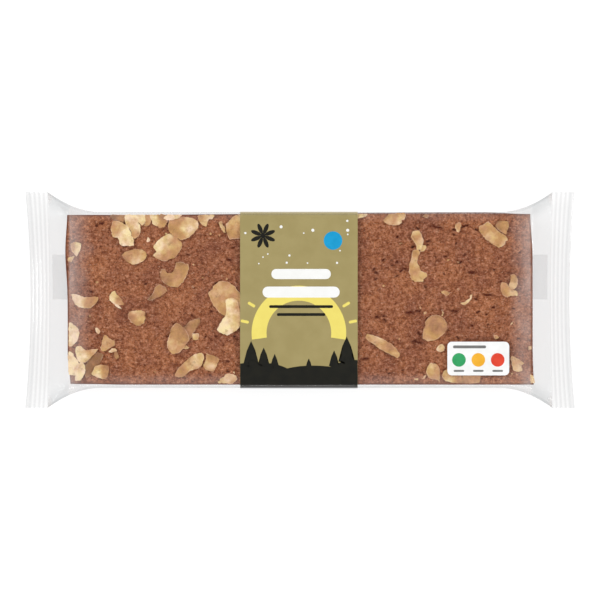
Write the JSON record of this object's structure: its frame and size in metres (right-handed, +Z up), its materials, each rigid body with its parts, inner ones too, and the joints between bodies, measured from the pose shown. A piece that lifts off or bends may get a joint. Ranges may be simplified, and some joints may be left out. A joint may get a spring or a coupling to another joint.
{
  "type": "filled speculaas bar",
  "caption": "Flat filled spice biscuit bar with almond flakes, sealed in a clear flow-wrap with crimped flared ends and a printed band round its middle.",
  "frame": {"origin": "middle of the pack on the surface it lies on", "axes": "+X along the pack's length, +Y across its width, +Z up through the side with the almond flakes"},
  "size_m": [0.2502, 0.0984, 0.0186],
  "materials": {
    "wrapped_bar": "brown baked bar seen through clear film",
    "printed_film": "satin khaki print",
    "clear_film": "clear glossy film",
    "baked_dough": "porous baked spice dough",
    "almond_flake": "lightly toasted almond",
    "label_print": "satin white print"
  },
  "bodies": {
    "root": {"sealed_bag": "wrapped_bar", "printed_band": "printed_film"}
  },
  "joints": []
}
